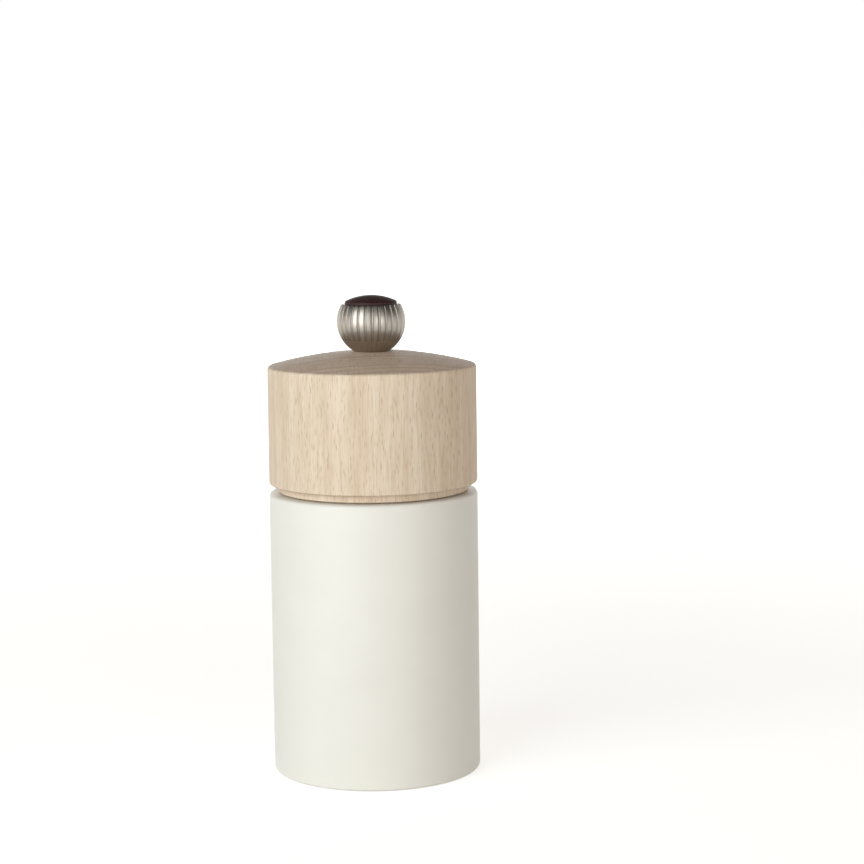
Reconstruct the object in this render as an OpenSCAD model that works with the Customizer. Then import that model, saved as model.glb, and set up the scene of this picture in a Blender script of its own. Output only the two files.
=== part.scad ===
// Salt mill turned by hand: a painted wooden body, a bare beech head that turns on it,
// a fluted steel knob that sets the grind, and a stainless grinder in the foot.
// Millimetres, +Z up, origin at the centre of the base.

/* [Body] */
// Outside diameter of the body and of the head above it
mill_d = 52.4; // [50:0.2:60]
// Height of the body from the table to its top rim
body_h = 70.8; // [68:0.2:95]
// Bore of the salt chamber
chamber_d = 34; // [33:0.2:37]
// Radius on the outer edges of the body
body_edge_r = 0.8; // [0.4:0.1:1.4]
// Depth of the outlet recess under the body
recess_h = 5.5; // [5.2:0.1:8]
// Width of the shoulder round the chamber that the strap is screwed to
shoulder_w = 5; // [4.6:0.1:6]

/* [Head] */
// Height of the head from the body's rim to its upper edge
head_h = 31.7; // [26:0.1:40]
// Rise of the crown above the head's upper edge
crown_h = 3.6; // [2:0.1:6]
// Radius on the outer edges of the head
head_edge_r = 0.6; // [0.3:0.1:1]
// How far the collar under the head is set in from the head's side
collar_inset = 2.25; // [1.2:0.05:4]
// Height of the collar that the head stands on
collar_h = 2.2; // [1.2:0.1:4]
// Height of the open gap under the outer part of the collar
collar_gap_h = 0.4; // [0.2:0.05:0.8]
// Depth of that gap, inwards from the collar's side
collar_gap_w = 2; // [1:0.1:4]
// Length of the spigot that centres the head in the chamber
spigot_h = 9; // [6:0.5:14]

/* [Knob] */
// Diameter of the knob's ball
knob_d = 17.2; // [15:0.1:21]
// Diameter of the flat under the ball that bears on the head
knob_seat_d = 8.6; // [8:0.1:11]
// Diameter of the ball where its top is cut off
knob_rim_d = 14.8; // [13.6:0.1:14.9]
// Number of flutes round the ball
knob_flutes = 30; // [20:2:32]
// Radius of the cutter that makes a flute
flute_r = 0.35; // [0.3:0.05:0.4]
// Depth of a flute at the ball's widest part
flute_depth = 0.3; // [0.2:0.05:0.35]
// Angle from the right-hand side to the first flute, in degrees
flute_turn = 7.75; // [0:0.25:12]
// Width of the plain foot between the flat under the ball and the ends of the flutes
plain_foot_w = 1; // [0.8:0.1:1.6]
// Diameter of the domed cap set into the top of the knob
cap_d = 13; // [11:0.1:13.6]
// Rise of the cap above the knob's rim
cap_rise = 2.2; // [1.6:0.1:3]
// Height of the cap's upright edge above the knob's rim
cap_edge_h = 0.7; // [0.4:0.05:1]
// Radius between the cap's upright edge and its dome
cap_edge_r = 0.25; // [0.15:0.05:0.4]
// Depth of the seat that the cap is pressed into
cap_seat_h = 1.6; // [1:0.1:2]

/* [Shaft] */
// Width of the square shaft across its flats
shaft_af = 6; // [5:0.1:7]
// Outside diameter of the threaded top end
thread_d = 5; // [4:0.1:5.8]
// Rise of the shaft for one turn of the knob
thread_pitch = 0.8; // [0.5:0.05:1]
// Turns of the knob from rest to the coarsest grind
coarse_turns = 2; // [1:0.25:3]
// Turns of the knob from rest to the finest grind
fine_turns = 0.75; // [0.25:0.25:1]
// Diameter of the round journal at the lower end
journal_d = 5; // [4:0.1:5.6]
// Height of the journal's end above the table
journal_end_z = 3; // [2.6:0.1:4]
// Length of the threaded end above the square
thread_l = 21.4; // [18:0.1:24]

/* [Grinder] */
// Height of the grinding ring above the shoulder that it hangs on
ring_h = 14.5; // [13:0.5:18]
// Diameter of the ring's open mouth
mouth_d = 27.2; // [25:0.2:29]
// How far the ring's flange reaches past the chamber wall
flange_w = 1.2; // [0.8:0.1:1.6]
// Thickness of the ring's flange
flange_t = 1.2; // [0.8:0.1:2]
// Diameter of the foot of the grinding cone
cone_d = 25.2; // [23:0.2:26]
// Diameter of the top of the grinding cone
cone_top_d = 15; // [14.4:0.2:18]
// Height of the grinding cone
cone_h = 12.4; // [10:0.2:14]
// Height of the finely toothed foot of the cone
fine_h = 4; // [3:0.1:5]
// How much the cone's radius shrinks over its fine teeth
fine_taper = 1.6; // [1.2:0.1:2]
// Radial gap between the fine teeth at the middle setting
grind_gap = 0.55; // [0.45:0.05:0.8]
// Number of fine teeth on the cone and on the ring
fine_teeth = 36; // [24:1:40]
// Depth of the fine teeth
fine_depth = 0.5; // [0.3:0.05:0.6]
// Slant of the fine teeth, in degrees
fine_slant = 18; // [10:1:25]
// Number of breaker flutes on the cone
cone_flutes = 7; // [5:1:8]
// Number of breaker flutes in the ring
ring_flutes = 12; // [8:1:14]
// Radius of the cutter that makes a breaker flute
breaker_r = 1.4; // [1:0.1:1.6]
// Slant of the breaker flutes, in degrees
breaker_slant = 28; // [15:1:35]

/* [Spring and bridge] */
// Rise of the bridge above the grinding ring
bridge_rise = 11; // [10:0.2:13]
// Width of the bridge's strip
bridge_w = 10; // [9.6:0.2:12]
// Thickness of the bridge's sheet
bridge_t = 1.2; // [0.8:0.1:1.6]
// Mean radius of the spring's coil
spring_r = 5.6; // [5.3:0.1:5.8]
// Diameter of the spring's wire
wire_d = 1; // [0.8:0.05:1.1]
// Number of turns in the spring
spring_turns = 4.5; // [3:0.5:5]
// Thickness of the washer over the spring
spring_washer_t = 0.8; // [0.5:0.1:1.2]
// Diameter of the washer over the spring
spring_washer_d = 15; // [13.6:0.2:18]
// Inside radius of the bends in the bridge
bend_r = 0.4; // [0.3:0.1:0.6]

/* [Strap, plate and fasteners] */
// Width of the strap under the grinder
strap_w = 11; // [9:0.5:13]
// Thickness of the strap
strap_t = 1.2; // [1:0.1:1.6]
// Diameter of the drive plate under the head
plate_d = 28; // [26:0.5:31]
// Thickness of the drive plate
plate_t = 1.2; // [0.8:0.1:2]
// Number of screws that hold the drive plate
plate_screws = 3; // [2:1:4]
// Shank diameter of every wood screw
screw_d = 2.1; // [1.8:0.1:2.4]
// Head diameter of every wood screw
screw_head_d = 3.4; // [3:0.1:3.6]
// Head height of every wood screw
screw_head_h = 1.2; // [1:0.1:1.4]
// Length of a wood screw under its head
screw_l = 9; // [7:0.5:10]
// Shank diameter of the rivets that hold the bridge
rivet_d = 1.6; // [1.2:0.1:1.8]
// Thickness of the washer under the cone
cone_washer_t = 1; // [0.8:0.1:1.4]
// Diameter of the washer under the cone
cone_washer_d = 11; // [10:0.2:14]
// Thickness of the retaining clip on the journal
clip_t = 0.6; // [0.5:0.1:0.8]
// How far the retaining clip stands out from the journal
clip_w = 1.6; // [1.2:0.1:2]
// Depth of the journal's groove for the clip
clip_depth = 0.5; // [0.3:0.05:0.6]

/* [Fits] */
// Radial clearance of the head's spigot in the chamber
spigot_clearance = 0.3; // [0.2:0.05:0.5]
// Clearance of pieces that turn or slide on each other
running_clearance = 0.08; // [0.05:0.01:0.1]
// Clearance of pieces that are fitted together and stay put
fitted_clearance = 0.05; // [0.03:0.01:0.08]
// Clearance of the shaft in the wooden head
head_clearance = 0.35; // [0.3:0.05:0.5]
// Gap left between the lowest moving piece and the strap at the coarsest grind
foot_gap = 0.4; // [0.3:0.05:0.6]
// Gap between the spring and its seats, and over the end of the shaft
end_gap = 0.1; // [0.05:0.05:0.2]
// Gap between the ends of the strap and the wall of the recess
strap_clearance = 0.4; // [0.3:0.05:0.6]

/* [Hidden] */
$fn = 96;
// Overlap of a cutter with what it cuts
cut = 1;

// Radii of the turned pieces
mill_r = mill_d / 2;
chamber_r = chamber_d / 2;
recess_r = chamber_r + shoulder_w;
flange_r = chamber_r + flange_w;
flange_seat_r = flange_r + fitted_clearance;
ring_r = chamber_r - fitted_clearance;
mouth_r = mouth_d / 2;
cone_r = cone_d / 2;
waist_r = cone_r - fine_taper;
cone_top_r = cone_top_d / 2;
collar_r = mill_r - collar_inset;
spigot_r = chamber_r - spigot_clearance;
knob_r = knob_d / 2;
knob_rim_r = knob_rim_d / 2;
cap_r = cap_d / 2;
thread_r = thread_d / 2;
journal_r = journal_d / 2;
// Radius that the corners of the square shaft sweep
corner_r = shaft_af / sqrt(2);
screw_r = screw_d / 2;
screw_head_r = screw_head_d / 2;

// Travel of the shaft from rest
coarse_travel = coarse_turns * thread_pitch;
fine_travel = fine_turns * thread_pitch;

// Heights of the grinder, from the strap upwards
strap_z = recess_h - strap_t;
flange_top_z = recess_h + flange_t;
ring_top_z = recess_h + ring_h;
clip_z = recess_h + coarse_travel + foot_gap;
cone_washer_z = clip_z + clip_t;
cone_z = cone_washer_z + cone_washer_t;
waist_z = cone_z + fine_h;
cone_top_z = cone_z + cone_h;
bridge_bar_z = ring_top_z + bridge_rise;
spring_washer_z = bridge_bar_z - running_clearance - spring_washer_t;

// Slopes of the cone and of the ring's lower bore, as radius lost for each unit of height
fine_slope = fine_taper / fine_h;
breaker_slope = (waist_r - cone_top_r) / (cone_top_z - waist_z);
mouth_slope = (mouth_r - waist_r - grind_gap) / (ring_top_z - waist_z);
throat_r = waist_r + grind_gap;

// Heights of the head and the knob
spigot_z = body_h - spigot_h;
plate_z = spigot_z - plate_t;
collar_top_z = body_h + collar_h;
shoulder_z = body_h + head_h;
crown_sphere_r = (mill_r * mill_r + crown_h * crown_h) / (2 * crown_h);
crown_z = shoulder_z + crown_h - crown_sphere_r;
knob_seat_r = knob_seat_d / 2;
knob_seat_z = crown_z + sqrt(pow(crown_sphere_r, 2) - pow(knob_seat_r + head_clearance, 2));
knob_z = knob_seat_z + sqrt(knob_r * knob_r - knob_seat_r * knob_seat_r);
knob_rim_z = knob_z + sqrt(knob_r * knob_r - knob_rim_r * knob_rim_r);
// A flute is as deep at the rim as at the ball's widest part and runs out at the plain foot, so its
// cutter swings about a point past the knob's axis and a little below the ball's middle
rim_a = asin((knob_rim_z - knob_z) / knob_r);
flute_end_a = acos((knob_seat_r + plain_foot_w) / knob_r);
flute_back = flute_depth / (1 - cos(flute_end_a) + tan(rim_a / 2) * sin(flute_end_a));
flute_drop = flute_back * tan(rim_a / 2);
flute_path_r = knob_r + flute_r - flute_depth + flute_back;
// Angles at which the cutter starts, clear of the foot, and ends, past the rim
flute_foot_a = -flute_end_a - 5;
flute_top_a = asin((knob_rim_z - knob_z + flute_drop + 2 * flute_r) / flute_path_r);
cap_z = knob_rim_z - cap_seat_h;
cap_dome_h = cap_rise - cap_edge_h;
cap_sphere_r = (cap_r * cap_r + cap_dome_h * cap_dome_h) / (2 * cap_dome_h);
cap_sphere_z = knob_rim_z + cap_rise - cap_sphere_r;

// Heights of the shaft
shaft_top_z = cap_z - fine_travel - end_gap;
square_top_z = shaft_top_z - thread_l;
// Where the wide bore of the head stops short of the knob
head_step_z = square_top_z + fine_travel + head_clearance;

// Inner side of the bridge's legs, and where its feet turn flat
leg_x = mouth_r - bridge_t;
foot_x = leg_x + bridge_t + bend_r;

// Places of the fasteners
strap_screw_r = (flange_seat_r + recess_r) / 2;
plate_screw_r = (plate_d / 2 + corner_r + head_clearance) / 2;
rivet_r = rivet_d / 2;
rivet_circle_r = (foot_x + ring_r) / 2;
rivet_head_r = 0.7 * rivet_d;
rivet_head_h = rivet_d / 2;
rivet_l = ring_h / 3;

// The spring's wire is a six-sided tube, with eight rings to each turn
wire_sides = 6;
rings_a_turn = 8;
spring_bottom_z = cone_top_z + end_gap + wire_d / 2;
spring_top_z = spring_washer_z - end_gap - wire_d / 2;
spring_rings = round(spring_turns * rings_a_turn);
spring_path = [
    for (i = [0 : spring_rings])
        let (turn = i / rings_a_turn * 360)
            [spring_r * cos(turn), spring_r * sin(turn),
             spring_bottom_z + (spring_top_z - spring_bottom_z) * i / spring_rings]
];
spring_gap = min([
    for (i = [0 : spring_rings], j = [i + rings_a_turn / 2 : 1 : spring_rings])
        norm(spring_path[i] - spring_path[j])
]) - wire_d;
echo("least gap between the turns of the spring", spring_gap);

// Shapes that repeat

// Ring of copies round the mill's axis
module around(count) {
    for (i = [0 : count - 1]) rotate(360 / count * i) children();
}

// Square bar along Z, for the shaft and for the holes that it goes through
module square_bar(af, z, h) {
    translate([-af / 2, -af / 2, z]) cube([af, af, h]);
}

// What is cut off an outline to round a corner: all that lies outside the circle, between two angles
module corner_cut(x, z, r, from, to) {
    reach = r + cut;
    half = (to - from) / 2;
    translate([x, z]) rotate(from) difference() {
        polygon([[0, 0], [reach, 0], reach / cos(half) * [cos(half), sin(half)],
                 reach * [cos(to - from), sin(to - from)]]);
        circle(r);
    }
}

// Wood screw with a slotted head, its head's underside at the origin, pointing up
module wood_screw() {
    slot_w = screw_d / 4;
    tip_l = screw_d;
    difference() {
        translate([0, 0, -screw_head_h])
            cylinder(r1 = 0.8 * screw_head_r, r2 = screw_head_r, h = screw_head_h);
        translate([-screw_head_d, -slot_w / 2, -screw_head_h - cut])
            cube([2 * screw_head_d, slot_w, screw_head_h / 2 + cut]);
    }
    cylinder(r = screw_r, h = screw_l - tip_l);
    translate([0, 0, screw_l - tip_l]) cylinder(r1 = screw_r, r2 = screw_r / 4, h = tip_l);
}

// Hole for such a screw, from a little under the origin
module screw_hole() {
    translate([0, 0, -cut]) cylinder(r = screw_r + fitted_clearance, h = screw_l + cut + end_gap);
}

// Puts a cutter along a cone's side, at the given radius and height; slope is radius lost upwards
module along_side(r, z, slope, slant) {
    translate([r, 0, z]) rotate([0, -atan(slope), 0]) rotate([slant, 0, 0]) children();
}

// Square bar on its edge, which cuts a V groove of the given depth
module tooth_cutter(depth, l) {
    side = depth * sqrt(2);
    rotate(45) cube([side, side, l], center = true);
}

// Body and the fixed pieces of the grinder

module body() {
    edge_x = mill_r - body_edge_r;
    color("#efece3") difference() {
        rotate_extrude() difference() {
            square([mill_r, body_h]);
            corner_cut(edge_x, body_edge_r, body_edge_r, -90, 0);
            corner_cut(edge_x, body_h - body_edge_r, body_edge_r, 0, 90);
        }
        translate([0, 0, -cut]) cylinder(r = recess_r, h = recess_h + cut);
        translate([0, 0, recess_h - cut]) cylinder(r = flange_seat_r, h = flange_t + cut);
        cylinder(r = chamber_r, h = body_h + cut);
        around(2) translate([strap_screw_r, 0, strap_z]) screw_hole();
    }
}

module grinding_ring() {
    foot_h = waist_z - recess_h;
    mouth_h = ring_top_z - waist_z;
    color("#b9bab8") difference() {
        union() {
            translate([0, 0, recess_h]) cylinder(r = flange_r, h = flange_t);
            translate([0, 0, recess_h]) cylinder(r = ring_r, h = ring_h);
        }
        translate([0, 0, recess_h - cut])
            cylinder(r1 = throat_r + fine_slope * (foot_h + cut), r2 = throat_r, h = foot_h + cut);
        translate([0, 0, waist_z])
            cylinder(r1 = throat_r, r2 = mouth_r + mouth_slope * cut, h = mouth_h + cut);
        around(fine_teeth)
            along_side(throat_r + fine_slope * foot_h / 2, waist_z - foot_h / 2, fine_slope, fine_slant)
                tooth_cutter(fine_depth, 1.4 * foot_h);
        around(ring_flutes)
            along_side(throat_r, waist_z, -mouth_slope, -breaker_slant)
                cylinder(r = breaker_r / 2, h = 2 * mouth_h);
        around(2) translate([rivet_circle_r, 0, ring_top_z - rivet_l])
            cylinder(r = rivet_r + fitted_clearance, h = rivet_l + cut);
    }
}

// Quarter of a bend in the bridge's sheet
module bridge_bend(x, z, turn) {
    outer_r = bend_r + bridge_t;
    translate([x, z]) rotate(turn) intersection() {
        difference() {
            circle(outer_r);
            circle(bend_r);
        }
        square(outer_r);
    }
}

// Strip bent into an arch over the grinder, with feet on the ring and a bearing hole in its bar
module bridge() {
    leg_z = ring_top_z + bridge_t + bend_r;
    leg_top_z = bridge_bar_z - bend_r;
    color("#a9abab") difference() {
        intersection() {
            translate([0, bridge_w / 2, 0]) rotate([90, 0, 0]) linear_extrude(bridge_w)
                for (side = [0, 1]) mirror([side, 0]) {
                    translate([foot_x, ring_top_z]) square([ring_r - foot_x, bridge_t]);
                    bridge_bend(foot_x, leg_z, 180);
                    translate([leg_x, leg_z]) square([bridge_t, leg_top_z - leg_z]);
                    bridge_bend(leg_x - bend_r, leg_top_z, 0);
                    translate([-fitted_clearance, bridge_bar_z])
                        square([leg_x - bend_r + fitted_clearance, bridge_t]);
                }
            translate([0, 0, ring_top_z - cut])
                cylinder(r = ring_r - fitted_clearance, h = bridge_rise + bridge_t + 2 * cut);
        }
        translate([0, 0, ring_top_z])
            cylinder(r = corner_r + running_clearance, h = bridge_rise + bridge_t + cut);
        around(2) translate([rivet_circle_r, 0, ring_top_z - cut])
            cylinder(r = rivet_r + fitted_clearance, h = bridge_t + 2 * cut);
    }
}

module bridge_rivets() {
    color("#c2c3c1") around(2) translate([rivet_circle_r, 0, ring_top_z - rivet_l + end_gap]) {
        cylinder(r = rivet_r, h = rivet_l - end_gap + bridge_t);
        translate([0, 0, rivet_l - end_gap + bridge_t])
            cylinder(r1 = rivet_head_r, r2 = 0.6 * rivet_head_r, h = rivet_head_h);
    }
}

// Flat bar across the outlet that steadies the shaft's lower end
module strap() {
    color("#a9abab") translate([0, 0, strap_z]) linear_extrude(strap_t) difference() {
        intersection() {
            square([2 * recess_r, strap_w], center = true);
            circle(recess_r - strap_clearance);
        }
        circle(journal_r + running_clearance);
        around(2) translate([strap_screw_r, 0]) circle(screw_r + fitted_clearance);
    }
}

module strap_screws() {
    color("#8f9091") around(2) translate([strap_screw_r, 0, strap_z]) wood_screw();
}

// Pieces that turn with the head

module spring_washer() {
    color("#c2c3c1") difference() {
        translate([0, 0, spring_washer_z]) cylinder(r = spring_washer_d / 2, h = spring_washer_t);
        square_bar(shaft_af + 2 * running_clearance, spring_washer_z - cut, spring_washer_t + 2 * cut);
    }
}

// Round wire wound about the shaft, pressed between the cone and the washer
module spring() {
    rise = (spring_top_z - spring_bottom_z) / spring_rings;
    lead = atan(rise * rings_a_turn / (2 * PI * spring_r));
    points = [
        for (i = [0 : spring_rings], j = [0 : wire_sides - 1])
            let (turn = 360 / rings_a_turn * i)
            let (out = wire_d / 2 * cos(360 / wire_sides * j))
            let (up = wire_d / 2 * sin(360 / wire_sides * j))
                spring_path[i] + [
                    out * cos(turn) + up * sin(lead) * sin(turn),
                    out * sin(turn) - up * sin(lead) * cos(turn),
                    up * cos(lead)
                ]
    ];
    last = spring_rings * wire_sides;
    sides = [
        for (i = [0 : spring_rings - 1], j = [0 : wire_sides - 1], half = [0, 1])
            let (a = i * wire_sides + j)
            let (b = i * wire_sides + (j + 1) % wire_sides)
                half == 0 ? [a, b + wire_sides, b] : [a, a + wire_sides, b + wire_sides]
    ];
    ends = [
        for (j = [1 : wire_sides - 2], half = [0, 1])
            half == 0 ? [0, j, j + 1] : [last, last + j + 1, last + j]
    ];
    color("#d0d1cf") polyhedron(points = points, faces = concat(sides, ends));
}

// Shaft and the pieces that rise and sink with it

module shaft() {
    groove_r = journal_r - clip_depth;
    color("#b4b5b4") difference() {
        union() {
            translate([0, 0, journal_end_z]) cylinder(r = journal_r, h = cone_z - journal_end_z);
            square_bar(shaft_af, cone_z, square_top_z - cone_z);
            translate([0, 0, square_top_z]) cylinder(r = thread_r, h = thread_l);
        }
        translate([0, 0, clip_z]) difference() {
            cylinder(r = journal_r + cut, h = clip_t);
            cylinder(r = groove_r, h = clip_t);
        }
    }
}

module grinding_cone() {
    fine_r = (cone_r + waist_r) / 2;
    breaker_h = cone_h - fine_h;
    // Breaker flutes start at the fine teeth and are deepest a little above the middle
    flute_z = waist_z + 0.6 * breaker_h;
    flute_at_r = waist_r - 0.6 * breaker_h * breaker_slope;
    flute_l = breaker_h / cos(breaker_slant);
    color("#9c9d9c") difference() {
        union() {
            translate([0, 0, cone_z]) cylinder(r1 = cone_r, r2 = waist_r, h = fine_h);
            translate([0, 0, waist_z]) cylinder(r1 = waist_r, r2 = cone_top_r, h = breaker_h);
        }
        square_bar(shaft_af + 2 * fitted_clearance, cone_z - cut, cone_h + 2 * cut);
        around(fine_teeth)
            along_side(fine_r, cone_z + fine_h / 2, fine_slope, fine_slant)
                tooth_cutter(fine_depth, 1.5 * fine_h);
        around(cone_flutes)
            along_side(flute_at_r + 0.3 * breaker_r, flute_z, breaker_slope, breaker_slant)
                translate([0, 0, -0.6 * flute_l]) cylinder(r = breaker_r, h = 1.6 * flute_l);
    }
}

module cone_washer() {
    color("#c2c3c1") translate([0, 0, cone_washer_z]) difference() {
        cylinder(r = cone_washer_d / 2, h = cone_washer_t);
        translate([0, 0, -cut]) cylinder(r = journal_r + fitted_clearance, h = cone_washer_t + 2 * cut);
    }
}

// Open spring clip that sits in the journal's groove
module retaining_clip() {
    inner_r = journal_r - clip_depth + fitted_clearance;
    outer_r = journal_r + clip_w;
    mouth_w = 1.4 * inner_r;
    color("#7d7e7f") translate([0, 0, clip_z]) linear_extrude(clip_t) difference() {
        circle(outer_r);
        circle(inner_r);
        translate([0, -mouth_w / 2]) square([outer_r + cut, mouth_w]);
    }
}

// Head

module head() {
    edge_x = mill_r - head_edge_r;
    // Centre of the round between the side and the crown, and the angle at which it meets the crown
    crown_edge_z = crown_z + sqrt(pow(crown_sphere_r - head_edge_r, 2) - edge_x * edge_x);
    crown_edge_a = acos(edge_x / (crown_sphere_r - head_edge_r));
    color("#d9c3a0") difference() {
        rotate_extrude() {
            translate([0, spigot_z]) square([spigot_r, spigot_h]);
            translate([0, body_h]) difference() {
                square([collar_r, collar_h]);
                translate([collar_r - collar_gap_w, -cut]) square([collar_gap_w + cut, collar_gap_h + cut]);
            }
            difference() {
                intersection() {
                    translate([0, collar_top_z]) square([mill_r, knob_seat_z - collar_top_z]);
                    translate([0, crown_z]) circle(crown_sphere_r);
                }
                corner_cut(edge_x, collar_top_z + head_edge_r, head_edge_r, -90, 0);
                corner_cut(edge_x, crown_edge_z, head_edge_r, 0, crown_edge_a);
            }
        }
        translate([0, 0, spigot_z - cut])
            cylinder(r = corner_r + head_clearance, h = head_step_z - spigot_z + cut);
        translate([0, 0, spigot_z])
            cylinder(r = thread_r + head_clearance, h = knob_seat_z - spigot_z + cut);
        around(plate_screws) translate([plate_screw_r, 0, plate_z]) screw_hole();
    }
}

// Disc under the head whose square hole turns the shaft
module drive_plate() {
    af = shaft_af + 2 * running_clearance;
    color("#a9abab") translate([0, 0, plate_z]) linear_extrude(plate_t) difference() {
        circle(plate_d / 2);
        square(af, center = true);
        around(plate_screws) translate([plate_screw_r, 0]) circle(screw_r + fitted_clearance);
    }
}

module drive_plate_screws() {
    color("#8f9091") around(plate_screws) translate([plate_screw_r, 0, plate_z]) wood_screw();
}

// Knob

// Ball cut flat above and below, with round flutes that run down from its rim to a plain foot
module knob() {
    color("#a39c93") difference() {
        rotate_extrude() intersection() {
            translate([0, knob_z]) circle(knob_r);
            translate([0, knob_seat_z]) square([knob_r, knob_rim_z - knob_seat_z]);
        }
        rotate(flute_turn) around(knob_flutes)
            translate([-flute_back, 0, knob_z - flute_drop]) rotate([90, 0, 0]) rotate(flute_foot_a)
                rotate_extrude(angle = flute_top_a - flute_foot_a)
                    translate([flute_path_r, 0]) circle(flute_r);
        translate([0, 0, knob_seat_z - cut])
            cylinder(r = thread_r + running_clearance, h = knob_rim_z - knob_seat_z + 2 * cut);
        translate([0, 0, cap_z]) cylinder(r = cap_r + fitted_clearance, h = cap_seat_h + cut);
    }
}

// Plug with a short upright edge and a low dome that closes the knob's top
module knob_cap() {
    edge_x = cap_r - cap_edge_r;
    // Centre of the round between the edge and the dome, and the angle at which it meets the dome
    edge_z = cap_sphere_z + sqrt(pow(cap_sphere_r - cap_edge_r, 2) - edge_x * edge_x);
    edge_a = acos(edge_x / (cap_sphere_r - cap_edge_r));
    color("#1d1715") rotate_extrude() difference() {
        intersection() {
            translate([0, cap_sphere_z]) circle(cap_sphere_r);
            translate([0, cap_z]) square([cap_r, cap_seat_h + cap_rise + cut]);
        }
        corner_cut(edge_x, edge_z, cap_edge_r, 0, edge_a);
    }
}

body();
grinding_ring();
bridge();
bridge_rivets();
strap();
strap_screws();
spring_washer();
spring();
shaft();
grinding_cone();
cone_washer();
retaining_clip();
head();
drive_plate();
drive_plate_screws();
knob();
knob_cap();
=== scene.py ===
# %% [markdown]
# # A salt mill with a twisting head
# The mill is a painted wooden cylinder with a bare beech head on it. The head turns a square shaft,
# and a fluted steel knob on the shaft's thread draws a toothed cone up into a toothed ring in the foot.
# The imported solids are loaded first, because every visible piece is built round them, in metres.
# Sizes below are in millimetres, and what the solids already say is read from their boxes.

# %% Load the solids
import math

import bmesh
import bpy
from mathutils import Matrix, Vector


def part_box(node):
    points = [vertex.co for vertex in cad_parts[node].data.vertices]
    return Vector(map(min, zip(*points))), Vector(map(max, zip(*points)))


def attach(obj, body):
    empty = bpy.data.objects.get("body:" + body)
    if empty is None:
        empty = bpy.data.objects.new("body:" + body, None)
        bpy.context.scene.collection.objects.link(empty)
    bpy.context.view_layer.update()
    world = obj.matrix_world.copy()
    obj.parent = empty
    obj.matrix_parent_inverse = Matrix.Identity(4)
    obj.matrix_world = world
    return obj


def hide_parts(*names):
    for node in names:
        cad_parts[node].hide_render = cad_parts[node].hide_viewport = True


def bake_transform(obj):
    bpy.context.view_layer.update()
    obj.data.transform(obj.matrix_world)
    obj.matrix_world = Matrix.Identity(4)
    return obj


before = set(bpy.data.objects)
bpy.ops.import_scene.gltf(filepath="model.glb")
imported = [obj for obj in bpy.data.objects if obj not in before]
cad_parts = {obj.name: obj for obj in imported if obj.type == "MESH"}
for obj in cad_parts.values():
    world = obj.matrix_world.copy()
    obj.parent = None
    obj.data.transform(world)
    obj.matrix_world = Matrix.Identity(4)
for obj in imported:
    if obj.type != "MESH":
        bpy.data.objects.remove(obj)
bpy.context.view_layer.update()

scene = bpy.context.scene
MM = 0.001


def heights(node):
    """The lowest and highest point of a solid, in millimetres."""
    return [corner.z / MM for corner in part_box(node)]


print("solids:", sorted(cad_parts))

# %% [markdown]
# ## The camera
# The photograph looks a little down on the mill from about 57 cm away, through a long lens.
# A camera is a position and three directions. They come here from the turn to the right (yaw), the
# tilt (pitch) and the lean (roll) of the real camera, which were fitted to the mill's own edges.

# %% Camera
yaw, pitch, roll = math.radians(1.493), math.radians(-7.038), math.radians(-0.7035)
forward = Vector((math.sin(yaw) * math.cos(pitch), math.cos(yaw) * math.cos(pitch), math.sin(pitch)))
level = Vector((math.cos(yaw), -math.sin(yaw), 0))
upright = level.cross(forward)
right = math.cos(roll) * level + math.sin(roll) * upright
up = -math.sin(roll) * level + math.cos(roll) * upright
camera = bpy.data.objects.new("camera", bpy.data.cameras.new("camera"))
camera.data.lens = 95.40
camera.data.sensor_width = 36
camera.data.clip_start = 10 * MM
camera.matrix_world = Matrix((right, up, -forward)).transposed().to_4x4()
camera.location = (0, -571.6 * MM, 155.9 * MM)
scene.collection.objects.link(camera)
scene.camera = camera
print("camera", tuple(round(c, 4) for c in camera.location), "lens", camera.data.lens)

# %% [markdown]
# ## Colours and nodes
# Colours are picked as sRGB hex values, as a paint chart gives them, but a shader works in linear
# light, so one function converts them. A second one adds a shader node, sets it and links it, which
# keeps every material below readable as a list of what it is made of. Patterns are sized in
# millimetres, and a texture wants their number per metre, which is one over the size. The last function
# tells the rays that look at a surface from those that only light it, for the floor and the room.

# %% Helpers for materials
def linear(hex_colour):
    channels = [int(hex_colour[i:i + 2], 16) / 255 for i in (1, 3, 5)]
    return [c / 12.92 if c <= 0.04045 else ((c + 0.055) / 1.055) ** 2.4 for c in channels] + [1.0]


def add(tree, kind, settings=None, inputs=None):
    made = tree.nodes.new(kind)
    for name, value in (settings or {}).items():
        setattr(made, name, value)
    for name, value in (inputs or {}).items():
        if isinstance(value, bpy.types.NodeSocket):
            tree.links.new(value, made.inputs[name])
        else:
            made.inputs[name].default_value = value
    return made


def new_material(name):
    material = bpy.data.materials.new(name)
    material.use_nodes = True
    material.node_tree.nodes.clear()
    return material, material.node_tree


def per_metre(*sizes):
    return [1 / (size * MM) for size in sizes]


def seen_rays(tree):
    """1 for rays from the camera and rays that metal or glass mirrors, 0 for rays that only carry light."""
    light_path = add(tree, "ShaderNodeLightPath")
    seen = light_path.outputs["Is Camera Ray"]
    for kind in ("Is Glossy Ray", "Is Transmission Ray"):
        seen = add(tree, "ShaderNodeMath", {"operation": "MAXIMUM"},
                   {0: seen, 1: light_path.outputs[kind]}).outputs[0]
    return seen


print("the mid grey #808080 is", round(linear("#808080")[0], 3), "in linear light")

# %% [markdown]
# ## The floor
# The mill stands on a large round sheet of white paper. Matt paper under soft light is grey to a camera,
# so the sheet adds a little light of its own for the camera and for mirror images. It then reads as
# white, still takes a shadow, and throws no extra light on the mill.

# %% Floor
FLOOR_R, FLOOR_GAP = 4000, 0.1
floor_mesh = bmesh.new()
paper_edge = bmesh.ops.create_circle(floor_mesh, cap_ends=True, radius=FLOOR_R * MM, segments=96)["verts"]
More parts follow.
